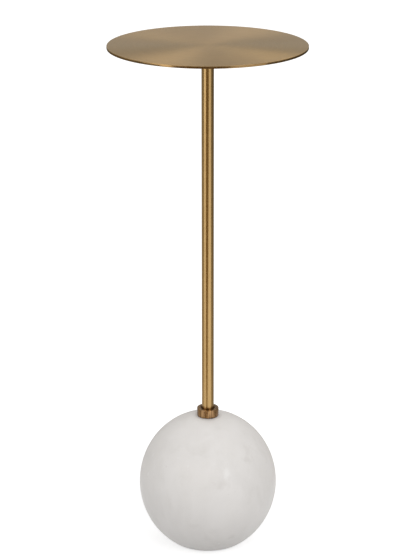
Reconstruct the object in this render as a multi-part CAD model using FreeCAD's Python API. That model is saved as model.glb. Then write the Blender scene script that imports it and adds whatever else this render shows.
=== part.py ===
import FreeCAD, Part
import math
import os

from FreeCAD import Vector

# A wine table: a thin round metal top on a slim post, which stands in a stone ball.
# Millimetres, +Z up. The origin is on the floor, at the centre of the pad under the ball.

# Overall sizes
OVERALL_HEIGHT = 680.0
TOP_DIAMETER = 254.0
POST_DIAMETER = 16.0
BALL_DIAMETER = 184.0
BALL_HALF_HEIGHT = 97.0
BALL_FLAT_DIAMETER = 100.0

# Round top and the plate welded under it
TOP_THICKNESS = 3.2
TOP_EDGE_ROUND = 0.4
BACKING_DIAMETER = 96.0
BACKING_THICKNESS = 5.0
BACKING_EDGE_CHAMFER = 0.6
STITCH_COUNT = 4
STITCH_ANGLE = 30.0
STITCH_LEG = 3.0
WELD_FIT = 0.1
WELD_CONVEXITY = 0.3

# Flange on the upper end of the post, and its weld
FLANGE_DIAMETER = 80.0
FLANGE_THICKNESS = 3.0
FLANGE_EDGE_CHAMFER = 0.6
FLANGE_FIT = 0.1
FLANGE_WELD_LEG = 3.0

# Screws and washers that hold the flange to the backing plate
SCREW_COUNT = 4
SCREW_DIAMETER = 6.0
SCREW_CIRCLE_DIAMETER = 56.0
SCREW_ENGAGEMENT = 3.8
SCREW_HOLE_CLEARANCE = 0.3
SCREW_HEAD_DIAMETER = 10.5
SCREW_HEAD_HEIGHT = 3.3
SCREW_HEAD_ROUND = 2.5
SCREW_SOCKET_ACROSS_FLATS = 4.0
SCREW_SOCKET_DEPTH = 2.0
SCREW_TIP_CHAMFER = 0.6
SPRING_WASHER_WIDTH = 2.6
SPRING_WASHER_THICKNESS = 1.6
FLAT_WASHER_WIDTH = 2.8
FLAT_WASHER_THICKNESS = 1.6
WASHER_CLEARANCE = 0.2
SPLIT_WIDTH = 1.0
SPLIT_SLANT = 20.0

# Post tube and the tapped plug in its foot
POST_WALL = 1.5
PLUG_LENGTH = 24.0
PLUG_FIT = 0.05
PLUG_EDGE_CHAMFER = 0.5
THREAD_CLEARANCE = 0.1

# Collar at the foot of the post, and the gasket under it
COLLAR_WALL = 6.1
COLLAR_HEIGHT = 11.0
COLLAR_FLOOR = 3.0
COLLAR_SOCKET_CLEARANCE = 0.3
COLLAR_TOP_ROUND = 0.9
COLLAR_MOUTH_CHAMFER = 1.3
COLLAR_FOOT_CHAMFER = 0.4
SEAT_GASKET_THICKNESS = 0.5
SEAT_GASKET_INSET = 0.5

# Stone ball
SEAT_MARGIN = 4.0
BALL_FLAT_ARRIS = 1.0
BALL_BORE_CLEARANCE = 1.5
RECESS_DIAMETER = 44.0
RECESS_DEPTH = 24.0

# Tie rod and what holds it under the ball
ROD_DIAMETER = 8.0
ROD_CLEARANCE = 0.4
ROD_ENGAGEMENT = 20.0
ROD_TAIL = 3.0
ROD_END_CHAMFER = 0.8
RECESS_WASHER_CLEARANCE = 3.0
RECESS_WASHER_THICKNESS = 3.0
RECESS_GASKET_THICKNESS = 2.0
LOCK_WASHER_WIDTH = 3.3
LOCK_WASHER_THICKNESS = 2.0
NUT_ACROSS_FLATS = 13.0
NUT_HEIGHT = 6.5
NUT_CORNER_DROP = 0.9

# Rubber pad under the ball
PAD_INSET = 4.0
PAD_THICKNESS = 2.0
PAD_EDGE_ROUND = 0.5

# Radii that several pieces share
top_radius = TOP_DIAMETER / 2
post_radius = POST_DIAMETER / 2
post_bore_radius = post_radius - POST_WALL
rod_radius = ROD_DIAMETER / 2
screw_radius = SCREW_DIAMETER / 2
screw_circle_radius = SCREW_CIRCLE_DIAMETER / 2
socket_radius = post_radius + COLLAR_SOCKET_CLEARANCE
collar_radius = socket_radius + COLLAR_WALL
seat_radius = collar_radius + SEAT_MARGIN
ball_radius = BALL_DIAMETER / 2
flat_radius = BALL_FLAT_DIAMETER / 2
recess_radius = RECESS_DIAMETER / 2
recess_washer_radius = recess_radius - RECESS_WASHER_CLEARANCE


def ball_height_at(radius):
    """Height of the ball's outline above its centre, at a distance from its axis."""
    return BALL_HALF_HEIGHT * math.sqrt(1 - (radius / ball_radius) ** 2)


# Heights, from the floor up through the ball and the collar
ball_flat_z = PAD_THICKNESS
ball_centre_z = ball_flat_z + ball_height_at(flat_radius)
seat_z = ball_centre_z + ball_height_at(seat_radius)
collar_z = seat_z + SEAT_GASKET_THICKNESS
post_foot_z = collar_z + COLLAR_FLOOR

# Heights, from the recess roof down the tie rod
recess_roof_z = ball_flat_z + RECESS_DEPTH
recess_washer_top_z = recess_roof_z - RECESS_GASKET_THICKNESS
lock_washer_top_z = recess_washer_top_z - RECESS_WASHER_THICKNESS
nut_top_z = lock_washer_top_z - LOCK_WASHER_THICKNESS
nut_bottom_z = nut_top_z - NUT_HEIGHT

# Heights, from the top surface down to the screw heads
top_under_z = OVERALL_HEIGHT - TOP_THICKNESS
backing_under_z = top_under_z - BACKING_THICKNESS
flange_under_z = backing_under_z - FLANGE_THICKNESS
flat_washer_under_z = flange_under_z - FLAT_WASHER_THICKNESS
screw_head_z = flat_washer_under_z - SPRING_WASHER_THICKNESS
screw_tip_z = backing_under_z + SCREW_ENGAGEMENT


def on_section(radius, height):
    """A point of a turned section, which is drawn in the XZ plane."""
    return Vector(radius, 0, height)


def turned_edges(edges, angle=360.0):
    """The solid that a closed loop of section edges sweeps about the Z axis."""
    section = Part.Face(Part.Wire(edges))
    return section.revolve(Vector(0, 0, 0), Vector(0, 0, 1), angle)


def turned(points):
    """The solid that a straight-sided section sweeps about the Z axis."""
    corners = [on_section(radius, height) for radius, height in points]
    loop = Part.makePolygon(corners + corners[:1])
    return turned_edges(loop.Edges)


def ring(outer_radius, inner_radius, bottom, top):
    """A plain ring or tube about the Z axis."""
    return turned([(inner_radius, bottom), (outer_radius, bottom), (outer_radius, top), (inner_radius, top)])


def rims(shape, radius, height):
    """The round edges of a shape that have this radius and lie at this height."""
    found = []
    for edge in shape.Edges:
        if not isinstance(edge.Curve, Part.Circle):
            continue
        same_radius = math.isclose(edge.Curve.Radius, radius)
        same_height = math.isclose(edge.Curve.Center.z, height, abs_tol=1e-6)
        if same_radius and same_height:
            found.append(edge)
    return found


def hexagon_prism(across_flats, bottom, top):
    """A six-sided bar about the Z axis."""
    sides = 6
    corner_radius = across_flats / math.sqrt(3)
    corners = []
    for index in range(sides):
        angle = 2 * math.pi * index / sides
        corners.append(Vector(corner_radius * math.cos(angle), corner_radius * math.sin(angle), bottom))
    outline = Part.makePolygon(corners + corners[:1])
    return Part.Face(outline).extrude(Vector(0, 0, top - bottom))


def at_screws(shape):
    """One copy of a shape at each screw place."""
    copies = []
    for index in range(SCREW_COUNT):
        copy = shape.copy()
        copy.translate(Vector(screw_circle_radius, 0, 0))
        copy.rotate(Vector(0, 0, 0), Vector(0, 0, 1), 360 * (index + 0.5) / SCREW_COUNT)
        copies.append(copy)
    return Part.makeCompound(copies)


def split_ring(outer_radius, inner_radius, bottom, top):
    """A spring washer pressed flat: a ring with one slanted cut through it."""
    middle_z = (bottom + top) / 2
    blade_height = 4 * (top - bottom)
    blade_start = Vector(0, -SPLIT_WIDTH / 2, middle_z - blade_height / 2)
    blade = Part.makeBox(2 * outer_radius, SPLIT_WIDTH, blade_height, blade_start)
    blade.rotate(Vector(0, 0, middle_z), Vector(1, 0, 0), SPLIT_SLANT)
    return ring(outer_radius, inner_radius, bottom, top).cut(blade)


def fillet_weld(corner_radius, corner_z, leg, angle=360.0):
    """A slightly raised weld bead in the corner between a round wall and the plate above it."""
    wall_radius = corner_radius + WELD_FIT
    reach = (leg + WELD_CONVEXITY * math.sqrt(2)) / 2
    corner = on_section(wall_radius, corner_z)
    plate_toe = on_section(wall_radius + leg, corner_z)
    crown = on_section(wall_radius + reach, corner_z - reach)
    wall_toe = on_section(wall_radius, corner_z - leg)
    edges = [
        Part.makeLine(wall_toe, corner),
        Part.makeLine(corner, plate_toe),
        Part.Arc(plate_toe, crown, wall_toe).toShape(),
    ]
    return turned_edges(edges, angle)


def make_top_disc():
    """Round top plate with both edges eased."""
    disc = Part.makeCylinder(top_radius, TOP_THICKNESS, Vector(0, 0, top_under_z))
    edges = rims(disc, top_radius, top_under_z) + rims(disc, top_radius, OVERALL_HEIGHT)
    return disc.makeFillet(TOP_EDGE_ROUND, edges)


def make_backing_plate():
    """Round plate under the top, tapped right through for the flange screws."""
    radius = BACKING_DIAMETER / 2
    plate = Part.makeCylinder(radius, BACKING_THICKNESS, Vector(0, 0, backing_under_z))
    plate = plate.makeChamfer(BACKING_EDGE_CHAMFER, rims(plate, radius, backing_under_z))
    hole_radius = screw_radius + THREAD_CLEARANCE
    hole = Part.makeCylinder(hole_radius, BACKING_THICKNESS, Vector(0, 0, backing_under_z))
    return plate.cut(at_screws(hole))


def make_backing_plate_welds():
    """Short fillet welds in the corner between the backing plate and the top."""
    stitches = []
    for index in range(STITCH_COUNT):
        stitch = fillet_weld(BACKING_DIAMETER / 2, top_under_z, STITCH_LEG, STITCH_ANGLE)
        start_angle = 360 * index / STITCH_COUNT - STITCH_ANGLE / 2
        stitch.rotate(Vector(0, 0, 0), Vector(0, 0, 1), start_angle)
        stitches.append(stitch)
    return Part.makeCompound(stitches)


def make_post_flange():
    """Round plate that fits over the upper end of the post, with a clear hole for each screw."""
    radius = FLANGE_DIAMETER / 2
    plate = ring(radius, post_radius + FLANGE_FIT, flange_under_z, backing_under_z)
    plate = plate.makeChamfer(FLANGE_EDGE_CHAMFER, rims(plate, radius, flange_under_z))
    hole_radius = screw_radius + SCREW_HOLE_CLEARANCE
    hole = Part.makeCylinder(hole_radius, FLANGE_THICKNESS, Vector(0, 0, flange_under_z))
    return plate.cut(at_screws(hole))


def make_flange_weld():
    """Fillet weld all round the corner between the post and the underside of its flange."""
    return fillet_weld(post_radius, flange_under_z, FLANGE_WELD_LEG)


def make_flange_screws():
    """Button head screws, heads down, with hexagon sockets and plain shanks for the threads."""
    head_radius = SCREW_HEAD_DIAMETER / 2
    head_bottom_z = screw_head_z - SCREW_HEAD_HEIGHT
    screw = turned([
        (0, head_bottom_z),
        (head_radius, head_bottom_z),
        (head_radius, screw_head_z),
        (screw_radius, screw_head_z),
        (screw_radius, screw_tip_z - SCREW_TIP_CHAMFER),
        (screw_radius - SCREW_TIP_CHAMFER, screw_tip_z),
        (0, screw_tip_z),
    ])
    screw = screw.makeFillet(SCREW_HEAD_ROUND, rims(screw, head_radius, head_bottom_z))
    socket_roof_z = head_bottom_z + SCREW_SOCKET_DEPTH
    return at_screws(screw.cut(hexagon_prism(SCREW_SOCKET_ACROSS_FLATS, head_bottom_z, socket_roof_z)))


def make_flange_spring_washers():
    """Split spring washers between the screw heads and the flat washers."""
    inner_radius = screw_radius + WASHER_CLEARANCE
    outer_radius = inner_radius + SPRING_WASHER_WIDTH
    return at_screws(split_ring(outer_radius, inner_radius, screw_head_z, flat_washer_under_z))


def make_flange_flat_washers():
    """Flat washers against the underside of the flange."""
    inner_radius = screw_radius + WASHER_CLEARANCE
    outer_radius = inner_radius + FLAT_WASHER_WIDTH
    return at_screws(ring(outer_radius, inner_radius, flat_washer_under_z, flange_under_z))


def make_post_tube():
    """Round tube from the floor of the collar to the upper face of the flange."""
    return ring(post_radius, post_bore_radius, post_foot_z, backing_under_z)


def make_post_plug():
    """Tapped plug, flush with the foot of the tube."""
    radius = post_bore_radius - PLUG_FIT
    plug_top_z = post_foot_z + PLUG_LENGTH
    plug = ring(radius, rod_radius + THREAD_CLEARANCE, post_foot_z, plug_top_z)
    return plug.makeChamfer(PLUG_EDGE_CHAMFER, rims(plug, radius, plug_top_z))


def make_collar():
    """Turned socket for the foot of the post, with a floor that the tie rod clamps to the ball."""
    top_z = collar_z + COLLAR_HEIGHT
    floor_z = collar_z + COLLAR_FLOOR
    rod_hole_radius = rod_radius + ROD_CLEARANCE
    blank = turned([
        (rod_hole_radius, collar_z),
        (collar_radius, collar_z),
        (collar_radius, top_z),
        (socket_radius, top_z),
        (socket_radius, floor_z),
        (rod_hole_radius, floor_z),
    ])
    blank = blank.makeFillet(COLLAR_TOP_ROUND, rims(blank, collar_radius, top_z))
    blank = blank.makeChamfer(COLLAR_MOUTH_CHAMFER, rims(blank, socket_radius, top_z))
    return blank.makeChamfer(COLLAR_FOOT_CHAMFER, rims(blank, collar_radius, collar_z))


def make_seat_gasket():
    """Thin ring that keeps the collar off the stone."""
    return ring(collar_radius - SEAT_GASKET_INSET, rod_radius + ROD_CLEARANCE, seat_z, collar_z)


def make_marble_ball():
    """Ball a little taller than wide, flat below, with a seat on top, a bore and a recess for the nut."""
    bore_radius = rod_radius + BALL_BORE_CLEARANCE
    stretch = BALL_HALF_HEIGHT / ball_radius
    circle_points = []
    for radius, height in ((flat_radius, ball_flat_z), (ball_radius, ball_centre_z), (seat_radius, seat_z)):
        circle_points.append(on_section(radius, (height - ball_centre_z) / stretch))
    outline = Part.Arc(*circle_points).toShape()
    to_ball = FreeCAD.Matrix()
    to_ball.scale(1, 1, stretch)
    to_ball.move(Vector(0, 0, ball_centre_z))
    outline = outline.transformGeometry(to_ball)
    corners = [
        on_section(seat_radius, seat_z),
        on_section(bore_radius, seat_z),
        on_section(bore_radius, recess_roof_z),
        on_section(recess_radius, recess_roof_z),
        on_section(recess_radius, ball_flat_z),
        on_section(flat_radius, ball_flat_z),
    ]
    ball = turned_edges(outline.Edges + Part.makePolygon(corners).Edges)
    return ball.makeFillet(BALL_FLAT_ARRIS, rims(ball, flat_radius, ball_flat_z))


def make_tie_rod():
    """Threaded rod through the ball, drawn as a plain bar of the thread's outer size."""
    bottom = nut_bottom_z - ROD_TAIL
    top = post_foot_z + ROD_ENGAGEMENT
    rod = Part.makeCylinder(rod_radius, top - bottom, Vector(0, 0, bottom))
    return rod.makeChamfer(ROD_END_CHAMFER, rims(rod, rod_radius, bottom) + rims(rod, rod_radius, top))


def make_recess_gasket():
    """Ring between the roof of the recess and the plate washer."""
    return ring(recess_washer_radius, rod_radius + ROD_CLEARANCE, recess_washer_top_z, recess_roof_z)


def make_recess_washer():
    """Wide plate washer that spreads the pull of the rod over the stone."""
    return ring(recess_washer_radius, rod_radius + ROD_CLEARANCE, lock_washer_top_z, recess_washer_top_z)


def make_lock_washer():
    """Split spring washer between the nut and the plate washer."""
    inner_radius = rod_radius + WASHER_CLEARANCE
    return split_ring(inner_radius + LOCK_WASHER_WIDTH, inner_radius, nut_top_z, lock_washer_top_z)


def make_tie_nut():
    """Hexagon nut with its corners turned off at both ends."""
    bore_radius = rod_radius + THREAD_CLEARANCE
    face_radius = NUT_ACROSS_FLATS / 2
    corner_radius = NUT_ACROSS_FLATS / math.sqrt(3)
    turned_blank = turned([
        (bore_radius, nut_bottom_z),
        (face_radius, nut_bottom_z),
        (corner_radius, nut_bottom_z + NUT_CORNER_DROP),
        (corner_radius, nut_top_z - NUT_CORNER_DROP),
        (face_radius, nut_top_z),
        (bore_radius, nut_top_z),
    ])
    return hexagon_prism(NUT_ACROSS_FLATS, nut_bottom_z, nut_top_z).common(turned_blank)


def make_floor_pad():
    """Round pad stuck on the flat of the ball, with its lower edge eased."""
    radius = flat_radius - PAD_INSET
    pad = Part.makeCylinder(radius, PAD_THICKNESS)
    return pad.makeFillet(PAD_EDGE_ROUND, rims(pad, radius, 0))


pieces = {
    "top_disc": make_top_disc(),
    "backing_plate": make_backing_plate(),
    "backing_plate_welds": make_backing_plate_welds(),
    "post_flange": make_post_flange(),
    "flange_weld": make_flange_weld(),
    "flange_screws": make_flange_screws(),
    "flange_spring_washers": make_flange_spring_washers(),
    "flange_flat_washers": make_flange_flat_washers(),
    "post_tube": make_post_tube(),
    "post_plug": make_post_plug(),
    "collar": make_collar(),
    "seat_gasket": make_seat_gasket(),
    "marble_ball": make_marble_ball(),
    "tie_rod": make_tie_rod(),
    "recess_gasket": make_recess_gasket(),
    "recess_washer": make_recess_washer(),
    "lock_washer": make_lock_washer(),
    "tie_nut": make_tie_nut(),
    "floor_pad": make_floor_pad(),
}

os.makedirs("parts", exist_ok=True)
for name, shape in pieces.items():
    shape.exportStep("parts/" + name + ".step")
    print(name, len(shape.Solids), "solids,", round(shape.Volume), "mm3, valid", shape.isValid())
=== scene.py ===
# A wine table: a thin round brass top on a slim brass post, which stands in a ball of white marble.
# Metres, +Z up, with the origin on the floor under the middle of the ball.
import math

import bmesh
import bpy
from mathutils import Matrix, Vector


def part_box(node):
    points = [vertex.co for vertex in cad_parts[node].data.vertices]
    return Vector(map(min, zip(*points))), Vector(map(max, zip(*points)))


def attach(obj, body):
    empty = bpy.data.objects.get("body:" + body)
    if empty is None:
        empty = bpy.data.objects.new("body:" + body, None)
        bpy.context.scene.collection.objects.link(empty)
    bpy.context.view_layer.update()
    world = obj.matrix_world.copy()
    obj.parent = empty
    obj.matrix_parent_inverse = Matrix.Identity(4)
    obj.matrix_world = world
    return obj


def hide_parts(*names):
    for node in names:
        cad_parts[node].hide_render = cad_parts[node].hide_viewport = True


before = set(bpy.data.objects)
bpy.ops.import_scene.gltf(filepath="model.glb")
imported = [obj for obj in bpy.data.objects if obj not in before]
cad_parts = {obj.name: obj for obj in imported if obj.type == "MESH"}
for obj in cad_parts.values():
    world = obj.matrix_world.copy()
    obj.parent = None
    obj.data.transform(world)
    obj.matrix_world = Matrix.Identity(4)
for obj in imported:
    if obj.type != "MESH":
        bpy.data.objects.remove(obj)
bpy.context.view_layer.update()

# Floor pad: a round of black rubber sheet, punched out with a slightly eased lower edge.
# It is stuck on the flat under the ball, where it closes the recess of the nut and grips the floor.
PAD_EDGE_ROUND = 0.0005
FULL_TURN = 2 * math.pi
SHARP_ANGLE = math.radians(35)
MERGE_DISTANCE = 1e-7
ON_AXIS = 1e-9
ROUND_STEPS = 5


def piece_from(shape, name):
    """Makes an object of a finished bmesh: merged, facing outwards, and smooth apart from its sharp edges."""
    bmesh.ops.remove_doubles(shape, verts=shape.verts[:], dist=MERGE_DISTANCE)
    bmesh.ops.recalc_face_normals(shape, faces=shape.faces[:])
    for face in shape.faces:
        face.smooth = True
    for edge in shape.edges:
        edge.smooth = edge.calc_face_angle(0.0) < SHARP_ANGLE
    mesh = bpy.data.meshes.new(name)
    shape.to_mesh(mesh)
    shape.free()
    piece = bpy.data.objects.new(name, mesh)
    bpy.context.scene.collection.objects.link(piece)
    return piece


def turned(corners, rounds=(), sides=192):
    """Turns a half section of (radius, height) corners about Z, with rounds of (corner, radius) on it."""
    shape = bmesh.new()
    points = [shape.verts.new((radius, 0.0, height)) for radius, height in corners]
    shape.faces.new(points)
    for corner, round_radius in rounds:
        bmesh.ops.bevel(
            shape, geom=[points[corner]], offset=round_radius, offset_type="OFFSET", segments=ROUND_STEPS,
            profile=0.5, affect="VERTICES", material=-1,
        )
    bmesh.ops.delete(shape, geom=shape.faces[:], context="FACES_ONLY")
    on_axis = [edge for edge in shape.edges if all(vert.co.x < ON_AXIS for vert in edge.verts)]
    bmesh.ops.delete(shape, geom=on_axis, context="EDGES")
    bmesh.ops.spin(
        shape, geom=shape.verts[:] + shape.edges[:], cent=(0, 0, 0), axis=(0, 0, 1), angle=FULL_TURN,
        steps=sides, use_merge=True,
    )
    return shape


def new_finish(name):
    """A material with an empty node tree."""
    finish = bpy.data.materials.new(name)
    finish.use_nodes = True
    finish.node_tree.nodes.clear()
    return finish


def add(finish, kind, inputs, **options):
    """Adds a node to a finish, and sets or links its inputs."""
    node = finish.node_tree.nodes.new(kind)
    for option, value in options.items():
        setattr(node, option, value)
    for socket, value in inputs.items():
        if isinstance(value, bpy.types.NodeSocket):
            finish.node_tree.links.new(value, node.inputs[socket])
        else:
            node.inputs[socket].default_value = value
    return node


def place_on(finish, stretch=(1, 1, 1), turn=(0, 0, 0)):
    """The place on the piece in its own metres, stretched along each axis and then turned."""
    place = add(finish, "ShaderNodeTexCoord", {}).outputs["Object"]
    inputs = {"Vector": place, "Scale": stretch, "Rotation": turn}
    return add(finish, "ShaderNodeMapping", inputs).outputs["Vector"]


def lumps(finish, place, per_metre, detail=3.0, twist=0.0):
    """Soft noise with this many lumps to the metre, mostly between 0.3 and 0.7."""
    inputs = {"Vector": place, "Scale": per_metre, "Detail": detail, "Distortion": twist}
    return add(finish, "ShaderNodeTexNoise", inputs).outputs["Fac"]


def between(finish, value, low, high, first=0.3, last=0.7):
    """Spreads a value that runs from first to last over low to high, and keeps it within them."""
    inputs = {"Value": value, "From Min": first, "From Max": last, "To Min": low, "To Max": high}
    return add(finish, "ShaderNodeMapRange", inputs).outputs["Result"]


def colour_between(finish, share, first, second):
    """A mix of two colours, as colours or as sockets."""
    inputs = {0: share, 6: first, 7: second}
    return add(finish, "ShaderNodeMix", inputs, data_type="RGBA").outputs[2]


def bumps(finish, height, depth):
    """The normal of a surface whose height of 0 to 1 stands for this depth in metres."""
    return add(finish, "ShaderNodeBump", {"Height": height, "Distance": depth}).outputs["Normal"]


def shaded(finish, sockets):
    """Ends a finish with a surface shader."""
    shader = add(finish, "ShaderNodeBsdfPrincipled", sockets)
    add(finish, "ShaderNodeOutputMaterial", {"Surface": shader.outputs["BSDF"]})


def add_piece(piece, finish, slot_name, *nodes):
    """Puts a new piece in the place of its nodes, on the one body of the table."""
    piece.data.materials.append(finish)
    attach(piece, "root")
    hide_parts(*nodes)


rubber = new_finish("matt_black_rubber")
rubber_place = place_on(rubber)
rubber_grain = lumps(rubber, rubber_place, 900.0, detail=5.0)
rubber_dust = between(rubber, lumps(rubber, rubber_place, 60.0, detail=4.0), 0.0, 1.0)
shaded(rubber, {
    "Base Color": colour_between(rubber, rubber_dust, (0.016, 0.016, 0.017, 1), (0.034, 0.033, 0.032, 1)),
    "Roughness": between(rubber, rubber_grain, 0.72, 0.88),
    "Specular IOR Level": 0.35,
    "Normal": bumps(rubber, rubber_grain, 0.0001),
})

pad_low, pad_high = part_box("floor_pad")
pad_section = [(0, pad_low.z), (pad_high.x, pad_low.z), (pad_high.x, pad_high.z), (0, pad_high.z)]
pad = piece_from(turned(pad_section, rounds=[(1, PAD_EDGE_ROUND)]), "rubber_pad")
add_piece(pad, rubber, "black_rubber", "floor_pad")

# Ball: one piece of white marble, turned and honed to a soft satin face, a little taller than wide.
# It is ground flat underneath with an eased edge, and drilled on its axis for the tie rod and its nut.
BALL_HALF_HEIGHT = 0.097
BALL_FLAT_RADIUS = 0.050
BALL_FLAT_ARRIS = 0.001
SEAT_RADIUS = 0.0184
SEAT_ARRIS = 0.0003
BORE_RADIUS = 0.0055
RECESS_RADIUS = 0.022
RECESS_DEPTH = 0.024
BALL_OUTLINE_STEPS = 120

ball_low, ball_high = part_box("marble_ball")
ball_radius = ball_high.x
flat_slope = math.acos(BALL_FLAT_RADIUS / ball_radius)
seat_slope = math.acos(SEAT_RADIUS / ball_radius)
ball_centre_z = ball_low.z + BALL_HALF_HEIGHT * math.sin(flat_slope)
recess_roof_z = ball_low.z + RECESS_DEPTH
ball_section = [
    (SEAT_RADIUS, ball_high.z),
    (BORE_RADIUS, ball_high.z),
    (BORE_RADIUS, recess_roof_z),
    (RECESS_RADIUS, recess_roof_z),
    (RECESS_RADIUS, ball_low.z),
]
flat_corner = len(ball_section)
for step in range(BALL_OUTLINE_STEPS):
    slope = -flat_slope + (flat_slope + seat_slope) * step / BALL_OUTLINE_STEPS
    ball_section.append((ball_radius * math.cos(slope), ball_centre_z + BALL_HALF_HEIGHT * math.sin(slope)))
ball_rounds = [(0, SEAT_ARRIS), (flat_corner, BALL_FLAT_ARRIS)]
ball = piece_from(turned(ball_section, ball_rounds, sides=256), "stone_ball")

marble = new_finish("honed_white_marble")
marble_place = place_on(marble)
cloud_lumps = lumps(marble, marble_place, 14.0, detail=6.0, twist=0.8)
cloud = between(marble, cloud_lumps, 0.0, 1.0, first=0.35, last=0.65)
band_place = place_on(marble, stretch=(1, 1, 0.25), turn=(0.15, 0.1, 0))
bands = between(marble, lumps(marble, band_place, 45.0, detail=4.0), 0.0, 0.8)
blotch_lumps = lumps(marble, place_on(marble, stretch=(1, 1, 0.6)), 42.0, detail=5.0, twist=0.4)
blotch = between(marble, blotch_lumps, 0.0, 0.3, first=0.54, last=0.74)
speck_lumps = lumps(marble, marble_place, 190.0, detail=2.0)
speck = between(marble, speck_lumps, 0.0, 0.22, first=0.70, last=0.78)
fleck_lumps = lumps(marble, place_on(marble, stretch=(1, 1, 0.4), turn=(0.2, 0, 0)), 120.0, detail=2.0)
fleck = between(marble, fleck_lumps, 0.0, 0.7, first=0.71, last=0.78)
crystal = lumps(marble, marble_place, 700.0, detail=2.0)
marble_colour = colour_between(marble, cloud, (0.745, 0.72, 0.695, 1), (0.81, 0.783, 0.757, 1))
marble_colour = colour_between(marble, bands, marble_colour, (0.825, 0.80, 0.78, 1))
marble_colour = colour_between(marble, blotch, marble_colour, (0.66, 0.63, 0.595, 1))
marble_colour = colour_between(marble, speck, marble_colour, (0.52, 0.48, 0.44, 1))
marble_colour = colour_between(marble, fleck, marble_colour, (0.90, 0.89, 0.87, 1))
ragged = between(marble, lumps(marble, marble_place, 130.0, detail=6.0), 0.0, 1.0)


def on_vectors(finish, operation, first, second=(0, 0, 0)):
    """What an operation such as ADD or NORMALIZE makes of two vectors or of one."""
    inputs = {0: first, 1: second}
    return add(finish, "ShaderNodeVectorMath", inputs, operation=operation).outputs["Vector"]


def on_numbers(finish, operation, first, second):
    """What an operation such as ADD makes of two numbers."""
    inputs = {0: first, 1: second}
    return add(finish, "ShaderNodeMath", inputs, operation=operation).outputs[0]


def length_of(finish, vector):
    """The length of a vector."""
    return add(finish, "ShaderNodeVectorMath", {0: vector}, operation="LENGTH").outputs["Value"]


def marble_mark(azimuth, height, wide, tall, strength, colour):
    """A soft mark on the face of the ball, at an azimuth from the front to the right, with a ragged edge."""
    turn = math.radians(azimuth)
    level = ball_radius * math.cos(math.asin((height - ball_centre_z) / BALL_HALF_HEIGHT))
    middle = (level * math.sin(turn), -level * math.cos(turn), height)
    offset = on_vectors(marble, "SUBTRACT", marble_place, middle)
    away = length_of(marble, on_vectors(marble, "DIVIDE", offset, (wide / 2, wide / 2, tall / 2)))
    edge = on_numbers(marble, "SUBTRACT", ragged, away)
    shown = between(marble, edge, 0.0, strength, first=-0.4, last=0.6)
    return colour_between(marble, shown, marble_colour, colour)


MARK_GREY = (0.60, 0.565, 0.53, 1)
MARK_WHITE = (0.93, 0.92, 0.90, 1)
marble_colour = marble_mark(11, height=0.115, wide=0.024, tall=0.022, strength=0.30, colour=MARK_GREY)
marble_colour = marble_mark(44, height=0.138, wide=0.022, tall=0.016, strength=0.30, colour=MARK_GREY)
marble_colour = marble_mark(49, height=0.148, wide=0.020, tall=0.014, strength=0.26, colour=MARK_GREY)
marble_colour = marble_mark(24, height=0.034, wide=0.016, tall=0.014, strength=0.28, colour=MARK_GREY)
marble_colour = marble_mark(-12, height=0.056, wide=0.022, tall=0.012, strength=0.18, colour=MARK_GREY)
marble_colour = marble_mark(17, height=0.127, wide=0.013, tall=0.034, strength=0.50, colour=MARK_WHITE)
pale_crystals = between(marble, crystal, 0.0, 0.12)
shaded(marble, {
    "Base Color": colour_between(marble, pale_crystals, marble_colour, (0.86, 0.85, 0.84, 1)),
    "Roughness": between(marble, crystal, 0.44, 0.54),
    "Specular IOR Level": 0.4,
    "Normal": bumps(marble, crystal, 0.00002),
})
add_piece(ball, marble, "white_marble", "marble_ball")

# Tie rod and what holds it: a threaded rod, a plate washer, a split washer and a nut, of zinc plated steel.
# The nut, in the recess under the ball, draws the post and the collar down; a rubber ring spares the stone.
zinc = new_finish("zinc_plate")
zinc_place = place_on(zinc)
zinc_cloud = between(zinc, lumps(zinc, zinc_place, 120.0, detail=5.0), 0.0, 1.0)
zinc_grain = lumps(zinc, zinc_place, 2500.0)
shaded(zinc, {
    "Base Color": colour_between(zinc, zinc_cloud, (0.46, 0.47, 0.48, 1), (0.58, 0.58, 0.56, 1)),
    "Metallic": 1.0,
    "Roughness": between(zinc, zinc_grain, 0.30, 0.46),
    "Normal": bumps(zinc, zinc_grain, 0.00002),
})


def refinish(finish, *nodes):
    """Gives nodes whose shape is right as it is their finish."""
    for node in nodes:
        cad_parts[node].material_slots[0].material = finish


refinish(zinc, "tie_rod", "recess_washer", "lock_washer", "tie_nut")
refinish(rubber, "recess_gasket")

# Seat gasket: a thin ring cut from rubber sheet, laid on the small flat at the top of the ball.
# The collar is clamped down on it, and it shows as a dark line between the metal and the stone.
refinish(rubber, "seat_gasket")

# Collar: a short socket turned from brass bar, darkened and rubbed back with an abrasive pad.
# The tie rod clamps its floor to the ball, and its countersunk mouth, coloured dark as painted shade, leaves
# a dark gap round the post.
COLLAR_SOCKET_RADIUS = 0.0083
COLLAR_HOLE_RADIUS = 0.0044
COLLAR_FLOOR = 0.003
COLLAR_TOP_ROUND = 0.0009
COLLAR_MOUTH_CHAMFER = 0.0013
COLLAR_FOOT_CHAMFER = 0.0004
MOUTH_SHADE_EDGE = 0.0004
RUB_LEAST = 0.14
RUB_MOST = 0.40

collar_low, collar_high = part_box("collar")
collar_floor_z = collar_low.z + COLLAR_FLOOR
mouth_radius = COLLAR_SOCKET_RADIUS + COLLAR_MOUTH_CHAMFER
collar_section = [
    (COLLAR_HOLE_RADIUS, collar_low.z),
    (collar_high.x - COLLAR_FOOT_CHAMFER, collar_low.z),
    (collar_high.x, collar_low.z + COLLAR_FOOT_CHAMFER),
    (collar_high.x, collar_high.z),
    (mouth_radius, collar_high.z),
    (COLLAR_SOCKET_RADIUS, collar_high.z - COLLAR_MOUTH_CHAMFER),
    (COLLAR_SOCKET_RADIUS, collar_floor_z),
    (COLLAR_HOLE_RADIUS, collar_floor_z),
]
collar = piece_from(turned(collar_section, rounds=[(3, COLLAR_TOP_ROUND)]), "turned_collar")

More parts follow.
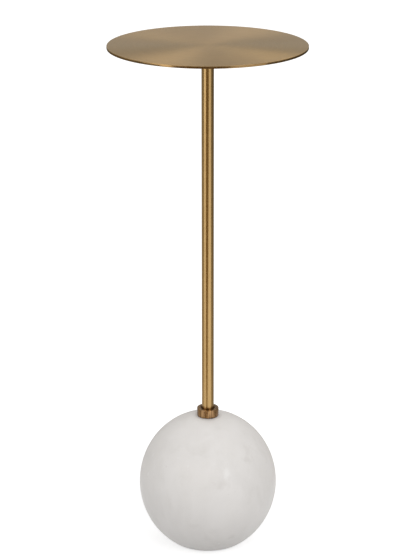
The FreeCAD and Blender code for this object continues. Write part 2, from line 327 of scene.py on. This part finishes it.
dark_brass = new_finish("darkened_brass")
collar_streaks = lumps(dark_brass, place_on(dark_brass, stretch=(1, 1, 0.08)), 420.0, detail=6.0)
rub_place = place_on(dark_brass, stretch=(1, 1, 0.08), turn=(0, 0.6, 0))
collar_rubs = lumps(dark_brass, rub_place, 600.0, detail=5.0)
collar_marks = on_numbers(dark_brass, "MULTIPLY", collar_streaks, collar_rubs)
collar_rubbed = between(dark_brass, collar_marks, 0.0, 1.0, RUB_LEAST, RUB_MOST)
collar_colour = colour_between(dark_brass, collar_rubbed, (0.13, 0.066, 0.022, 1), (0.46, 0.268, 0.115, 1))
collar_radius = length_of(dark_brass, place_on(dark_brass, stretch=(1, 1, 0)))
# Inside the mouth the colour is painted shade, dark and without coat, where the gap round the post lies in
# shadow.
clear_of_painted_mouth_shade = between(dark_brass, collar_radius, 0.0, 1.0, mouth_radius - MOUTH_SHADE_EDGE, mouth_radius)
shaded(dark_brass, {
    "Base Color": colour_between(dark_brass, clear_of_painted_mouth_shade, (0.10, 0.058, 0.018, 1), collar_colour),
    "Metallic": 1.0,
    "Roughness": between(dark_brass, collar_marks, 0.21, 0.34, RUB_LEAST, RUB_MOST),
    "Normal": bumps(dark_brass, collar_streaks, 0.00002),
    "Coat Weight": between(dark_brass, clear_of_painted_mouth_shade, 0.0, 0.5, first=0.0, last=1.0),
    "Coat Roughness": 0.25,
})
add_piece(collar, dark_brass, "dark_brass", "collar")

# Plug: a short end of steel bar, turned to fit the foot of the tube and tapped for the tie rod.
# It is brazed into the tube, out of sight, and the rod draws the post down by it.
refinish(zinc, "post_plug")

# Post: a slim round brass tube, brushed along its length to a satin face and then lacquered.
# Its foot stands in the collar, over the plug, and its upper end is welded into the flange.
POST_WALL = 0.0015

post_low, post_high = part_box("post_tube")
post_bore = post_high.x - POST_WALL
post_section = [
    (post_bore, post_low.z),
    (post_high.x, post_low.z),
    (post_high.x, post_high.z),
    (post_bore, post_high.z),
]
post = piece_from(turned(post_section, sides=96), "brushed_post")

satin_brass = new_finish("satin_brass")
brush_lines = lumps(satin_brass, place_on(satin_brass, stretch=(1, 1, 0.004)), 1500.0, detail=1.0)
patina_lumps = lumps(satin_brass, place_on(satin_brass, stretch=(1, 1, 0.2)), 80.0, detail=5.0)
post_patina = between(satin_brass, patina_lumps, 0.0, 1.0)
post_colour = colour_between(satin_brass, post_patina, (0.385, 0.235, 0.072, 1), (0.425, 0.265, 0.088, 1))
shaded(satin_brass, {
    "Base Color": post_colour,
    "Metallic": 1.0,
    "Roughness": between(satin_brass, brush_lines, 0.24, 0.30),
    "Normal": bumps(satin_brass, brush_lines, 0.0000012),
    "Coat Weight": 1.0,
    "Coat Roughness": 0.2,
})
add_piece(post, satin_brass, "brushed_brass", "post_tube")

# Flange and backing plate: two round steel plates, plated in a dull antique brass after welding.
# The flange is on the end of the post; the backing plate, under the top, is tapped for the four screws.
dull_plate = new_finish("dull_brass_plate")
plate_cloud = between(dull_plate, lumps(dull_plate, place_on(dull_plate), 70.0, detail=5.0), 0.0, 1.0)
plate_grain = lumps(dull_plate, place_on(dull_plate), 1800.0)
shaded(dull_plate, {
    "Base Color": colour_between(dull_plate, plate_cloud, (0.24, 0.155, 0.07, 1), (0.34, 0.23, 0.11, 1)),
    "Metallic": 1.0,
    "Roughness": between(dull_plate, plate_grain, 0.40, 0.56),
    "Normal": bumps(dull_plate, plate_grain, 0.00003),
})
refinish(dull_plate, "post_flange", "backing_plate")

# Welds: a bead all round the post under its flange, and four short stitches round the backing plate.
# Each was laid in overlapping drops, which left ripples across it, and was plated with the plates.
WELD_RISE = 0.0003
WELD_FACE_STEPS = 8
WELD_DROP = 0.002
WELD_STEPS_PER_DROP = 8
WELD_RIPPLE = 0.14
WELD_CRESCENT = 0.6
STITCH_COUNT = 4
STITCH_TURN = math.radians(30)
STITCH_END_SIZE = 0.35


def hump(share):
    """0 at both edges of the face of a bead, and 1 in its middle."""
    return 4 * share * (1 - share)


def weld_bead(shape, node, middle_turn, turn):
    """Adds a rippled bead in the corner under a plate, over a turn about the axis, half to each side."""
    low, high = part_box(node)
    leg = high.z - low.z
    wall = high.x - leg
    drops = round(turn * (wall + leg / 2) / WELD_DROP)
    section = [(wall, high.z)]
    for step in range(WELD_FACE_STEPS + 1):
        share = step / WELD_FACE_STEPS
        rise = WELD_RISE * hump(share) / math.sqrt(2)
        section.append((wall + leg * (1 - share) + rise, high.z - leg * share - rise))
    start = Matrix.Rotation(middle_turn - turn / 2, 3, "Z")
    points = [shape.verts.new(start @ Vector((radius, 0, height))) for radius, height in section]
    edges = [shape.edges.new((points[index - 1], points[index])) for index in range(len(points))]
    before = set(shape.verts) - set(points)
    bmesh.ops.spin(
        shape, geom=points + edges, cent=(0, 0, 0), axis=(0, 0, 1), angle=turn,
        steps=drops * WELD_STEPS_PER_DROP, use_merge=turn == FULL_TURN,
    )
    for vert in set(shape.verts) - before:
        reach = math.hypot(vert.co.x, vert.co.y)
        out = reach - wall
        down = high.z - vert.co.z
        share = (1 + (down - out) / leg) / 2
        crown = hump(share)
        from_middle = (math.atan2(vert.co.y, vert.co.x) - middle_turn + math.pi) % FULL_TURN - math.pi
        drop = abs(math.sin(math.pi * (from_middle / turn * drops + WELD_CRESCENT * crown)))
        size = 1 - WELD_RIPPLE * crown * (1 - drop)
        if turn < FULL_TURN:
            from_end = min(1.0, (turn / 2 - abs(from_middle)) * wall / leg)
            size *= STITCH_END_SIZE + (1 - STITCH_END_SIZE) * math.sqrt(max(0.0, from_end * (2 - from_end)))
        vert.co.x *= (wall + out * size) / reach
        vert.co.y *= (wall + out * size) / reach
        vert.co.z = high.z - down * size


flange_bead = bmesh.new()
weld_bead(flange_bead, "flange_weld", 0.0, FULL_TURN)
add_piece(piece_from(flange_bead, "flange_bead"), dull_plate, "plated_steel", "flange_weld")
stitches = bmesh.new()
for index in range(STITCH_COUNT):
    weld_bead(stitches, "backing_plate_welds", FULL_TURN * index / STITCH_COUNT, STITCH_TURN)
bmesh.ops.holes_fill(stitches, edges=[edge for edge in stitches.edges if edge.is_boundary])
add_piece(piece_from(stitches, "stitch_beads"), dull_plate, "plated_steel", "backing_plate_welds")

# Screws and washers: four button head screws with flat and split washers, of zinc plated steel.
# They hold the flange to the backing plate, so that the top lifts off for packing.
refinish(zinc, "flange_screws", "flange_spring_washers", "flange_flat_washers")

# Top: a thin round brass plate, brushed in circles on a turntable, with both edges eased.
# The backing plate is stitch welded under its middle, so no fixing shows from above.
TOP_EDGE_ROUND = 0.0004
FINE_RINGS = 2200.0
BROAD_RINGS = 260.0
STRAY_STROKES = 1500.0
STRAY_IN_MIDDLE = 6.0
STRAY_OUTSIDE = 0.5
MIDDLE_REACH = 0.08
RIM_ROUGHNESS = 0.16
RING_LIFT = 0.05

top_low, top_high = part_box("top_disc")
top_section = [(0, top_low.z), (top_high.x, top_low.z), (top_high.x, top_high.z), (0, top_high.z)]
top_rounds = [(1, TOP_EDGE_ROUND), (2, TOP_EDGE_ROUND)]
top = piece_from(turned(top_section, top_rounds, sides=256), "spun_top")

spun_brass = new_finish("circle_brushed_brass")
from_axis = place_on(spun_brass, stretch=(1, 1, 0))
outward = on_vectors(spun_brass, "NORMALIZE", from_axis)
radius = length_of(spun_brass, from_axis)


def scaled(finish, vector, factor):
    """A vector made this many times as long."""
    inputs = {0: vector, 3: factor}
    return add(finish, "ShaderNodeVectorMath", inputs, operation="SCALE").outputs["Vector"]


def rings(finish, per_metre, arcs, detail):
    """Noise in rings about the axis, this many to the metre, which changes along each ring in arcs."""
    across = on_numbers(finish, "MULTIPLY", radius, per_metre)
    climb = add(finish, "ShaderNodeCombineXYZ", {"Z": across}).outputs[0]
    place = on_vectors(finish, "ADD", scaled(finish, outward, arcs), climb)
    return lumps(finish, place, 1.0, detail)


# The lift keeps a direction across the rings on the upright rim too, where outward is the normal.
true_across = on_vectors(spun_brass, "ADD", outward, (0, 0, RING_LIFT))
stroke_inputs = {"Vector": from_axis, "Scale": STRAY_STROKES}
strokes = add(spun_brass, "ShaderNodeTexNoise", stroke_inputs).outputs["Color"]
either_way = on_vectors(spun_brass, "SUBTRACT", strokes, (0.5, 0.5, 0.5))
stray_share = between(spun_brass, radius, STRAY_IN_MIDDLE, STRAY_OUTSIDE, 0.0, MIDDLE_REACH)
across_rings = on_vectors(spun_brass, "ADD", true_across, scaled(spun_brass, either_way, stray_share))
fine_rings = rings(spun_brass, FINE_RINGS, arcs=4.0, detail=3.0)
broad_rings = between(spun_brass, rings(spun_brass, BROAD_RINGS, arcs=1.6, detail=3.0), 0.0, 1.0)
top_patina = between(spun_brass, lumps(spun_brass, place_on(spun_brass), 22.0, detail=5.0), 0.0, 0.5)
ring_colour = colour_between(spun_brass, broad_rings, (0.268, 0.180, 0.088, 1), (0.302, 0.202, 0.100, 1))
top_colour = colour_between(spun_brass, top_patina, ring_colour, (0.268, 0.187, 0.096, 1))
# The rim's colour, a little darker than the face's, is painted shade for the dark line along the edge; its
# lower roughness is its own finish.
on_rim = between(spun_brass, radius, 0.0, 1.0, top_high.x - TOP_EDGE_ROUND, top_high.x)
face_blur = between(spun_brass, fine_rings, 0.33, 0.41)
rim_blur = {0: on_rim, 2: face_blur, 3: RIM_ROUGHNESS}
shaded(spun_brass, {
    "Base Color": colour_between(spun_brass, on_rim, top_colour, (0.27, 0.165, 0.065, 1)),
    "Metallic": 1.0,
    "Roughness": add(spun_brass, "ShaderNodeMix", rim_blur).outputs[0],
    "Specular Tint": (0.535, 0.472, 0.37, 1),
    "Anisotropic": 0.92,
    "Tangent": across_rings,
    "Normal": bumps(spun_brass, fine_rings, 0.000003),
    "Coat Weight": 0.3,
    "Coat Roughness": 0.3,
})
add_piece(top, spun_brass, "spun_brass", "top_disc")

# Floor: a wide pale sheet that the table stands on, without an edge in sight.
# It glows enough to look white from the camera and in the metal, apart from the table's own shadow.
FLOOR_SIZE = 40.0
FLOOR_NEAR_GLOW = 0.71
FLOOR_FAR_GLOW = 0.94
FLOOR_NEAR = 0.20
FLOOR_FAR = 0.50
FLOOR_PALE = (0.48, 0.48, 0.48, 1)
FLOOR_DULL = (0.60, 0.60, 0.60, 1)


def seen_or_mirrored(finish):
    """1 where the camera, a mirror or glass looks at this, and 0 where it lights something else."""
    path = add(finish, "ShaderNodeLightPath", {}).outputs
    seen = on_numbers(finish, "MAXIMUM", path["Is Camera Ray"], path["Is Glossy Ray"])
    return on_numbers(finish, "MAXIMUM", seen, path["Is Transmission Ray"])


floor_shape = bmesh.new()
bmesh.ops.create_grid(floor_shape, x_segments=1, y_segments=1, size=FLOOR_SIZE / 2)
floor = piece_from(floor_shape, "floor")
floor_finish = new_finish("pale_floor")
floor_seen = seen_or_mirrored(floor_finish)
floor_colour = colour_between(floor_finish, floor_seen, FLOOR_DULL, FLOOR_PALE)
from_table = length_of(floor_finish, place_on(floor_finish))
# The glow is weaker close round the table, as painted shade that deepens the table's own shadow there, also
# in the metal.
glow_with_painted_shade = between(floor_finish, from_table, FLOOR_NEAR_GLOW, FLOOR_FAR_GLOW, FLOOR_NEAR, FLOOR_FAR)
floor_glow = on_numbers(floor_finish, "MULTIPLY", floor_seen, glow_with_painted_shade)
floor_sum = add(floor_finish, "ShaderNodeAddShader", {
    0: add(floor_finish, "ShaderNodeBsdfDiffuse", {"Color": floor_colour}).outputs[0],
    1: add(floor_finish, "ShaderNodeEmission", {"Strength": floor_glow}).outputs[0],
})
add(floor_finish, "ShaderNodeOutputMaterial", {"Surface": floor_sum.outputs[0]})
floor.data.materials.append(floor_finish)

# Light: a white room with soft boxes in front and at both sides, and two high ones behind for the top.
# Grey cards round the post, and a small one near the rim, glow faintly and give the metal its dark lines as
# painted reflections. They show in reflections alone and cast no shadow. One box in front is for the stone
# and isn't reflected.
ROOM_FILL = 0.40
TABLE_MIDDLE = Vector((0, 0, 0.35))
TABLE_TOP = Vector((0, 0, top_high.z))
CARD_FOOT = (0.45, 0.004)
CARD_HEAD = (0.615, 0.66)
RIM_CARD_FOOT = (0.2, 0.640)
RIM_CARD_HEAD = (0.2, 0.665)

room = bpy.data.worlds.new("white_room")
room.use_nodes = True
room.node_tree.nodes.clear()
room_strength = between(room, seen_or_mirrored(room), ROOM_FILL, 1.0, first=0.0, last=1.0)
room_light = add(room, "ShaderNodeBackground", {"Color": (1, 1, 1, 1), "Strength": room_strength})
add(room, "ShaderNodeOutputWorld", {"Surface": room_light.outputs[0]})
bpy.context.scene.world = room


def round_the_table(azimuth, distance, height):
    """A place round the table. The azimuth runs from the camera's side to the right."""
    turn = math.radians(azimuth)
    return Vector((distance * math.sin(turn), -distance * math.cos(turn), height))


def soft_box(name, place, aim, width, tall, radiance, in_metal=True):
    """A rectangular lamp of this radiance, turned to what it lights, which metal may reflect or not."""
    lamp = bpy.data.lights.new(name, "AREA")
    lamp.shape = "RECTANGLE"
    lamp.size = width
    lamp.size_y = tall
    lamp.energy = radiance * math.pi * width * tall
    holder = bpy.data.objects.new(name, lamp)
    holder.location = place
    holder.rotation_euler = (aim - place).to_track_quat("-Z", "Y").to_euler()
    holder.visible_camera = False
    holder.visible_glossy = in_metal
    bpy.context.scene.collection.objects.link(holder)


soft_box("left_box", round_the_table(-46, 1.8, 1.0), TABLE_MIDDLE, width=1.3, tall=1.9, radiance=1.25)
soft_box("right_box", round_the_table(38, 1.8, 1.4), TABLE_MIDDLE, width=1.0, tall=1.7, radiance=1.6)
soft_box("left_side_box", round_the_table(-88, 1.8, 0.9), TABLE_MIDDLE, width=1.2, tall=1.5, radiance=0.35)
soft_box("right_side_box", round_the_table(85, 1.8, 0.9), TABLE_MIDDLE, width=1.2, tall=1.5, radiance=0.75)
soft_box("high_left_box", Vector((-0.85, 1.53, 3.0)), TABLE_TOP, width=1.38, tall=1.53, radiance=1.8)
soft_box("high_right_box", Vector((1.05, 2.14, 2.55)), TABLE_TOP, width=1.07, tall=1.22, radiance=2.1)
soft_box(
    "front_box", round_the_table(28, 2.0, 1.6), TABLE_MIDDLE, width=1.5, tall=1.5, radiance=1.65,
    in_metal=False,
)


def glowing_card(name, foot_edges, head_edges, colour, shades, foot=CARD_FOOT, head=CARD_HEAD):
    """A glowing card, a painted reflection seen in reflections alone, from azimuth to azimuth, with a shade
    at its foot and its head.

    The foot and the head are each a reach from the axis of the table and a height.
    """
    shape = bmesh.new()
    corners = [round_the_table(azimuth, *foot) for azimuth in foot_edges]
    corners += [round_the_table(azimuth, *head) for azimuth in reversed(head_edges)]
    shape.faces.new([shape.verts.new(corner) for corner in corners])
    card = piece_from(shape, name)
    card_finish = new_finish(name)
    card_place = add(card_finish, "ShaderNodeSeparateXYZ", {0: place_on(card_finish)})
    foot_height = foot[1]
    head_height = head[1]
    shade = between(card_finish, card_place.outputs["Z"], *shades, foot_height, head_height)
    card_glow = add(card_finish, "ShaderNodeEmission", {"Color": colour, "Strength": shade})
    add(card_finish, "ShaderNodeOutputMaterial", {"Surface": card_glow.outputs[0]})
    card.data.materials.append(card_finish)
    card.visible_camera = False
    card.visible_diffuse = False
    card.visible_shadow = False


glowing_card("front_card", (-36, -4), (-36, 27), colour=(1.0, 0.66, 0.26, 1), shades=(0.37, 0.21))
glowing_card("right_card", (65, 168), (62, 168), colour=(1.0, 0.9, 0.75, 1), shades=(0.45, 0.15))
glowing_card("left_card", (-122, -72), (-122, -70), colour=(1.0, 0.9, 0.7, 1), shades=(0.64, 0.29))
glowing_card("back_card", (168, 238), (168, 238), colour=(1.0, 0.95, 0.85, 1), shades=(0.50, 0.30))
glowing_card(
    "rim_card", (-64, -37), (-64, -37), colour=(1.0, 0.9, 0.7, 1), shades=(0.2, 0.2), foot=RIM_CARD_FOOT,
    head=RIM_CARD_HEAD,
)

# Camera: a long lens in front of the table, higher than its top and level from side to side.
# It looks down at the middle of the table, so that the top shows as a narrow oval.
CAMERA_PLACE = (0.0029, -2.3548, 1.1616)
CAMERA_PITCH = math.radians(18.605)
CAMERA_LENS = 122.32

camera = bpy.data.cameras.new("camera")
camera.lens = CAMERA_LENS
camera_holder = bpy.data.objects.new("camera", camera)
camera_holder.location = CAMERA_PLACE
camera_holder.rotation_euler = (math.pi / 2 - CAMERA_PITCH, 0, 0)
bpy.context.scene.collection.objects.link(camera_holder)
bpy.context.scene.camera = camera_holder
bpy.context.scene.view_settings.view_transform = "Standard"
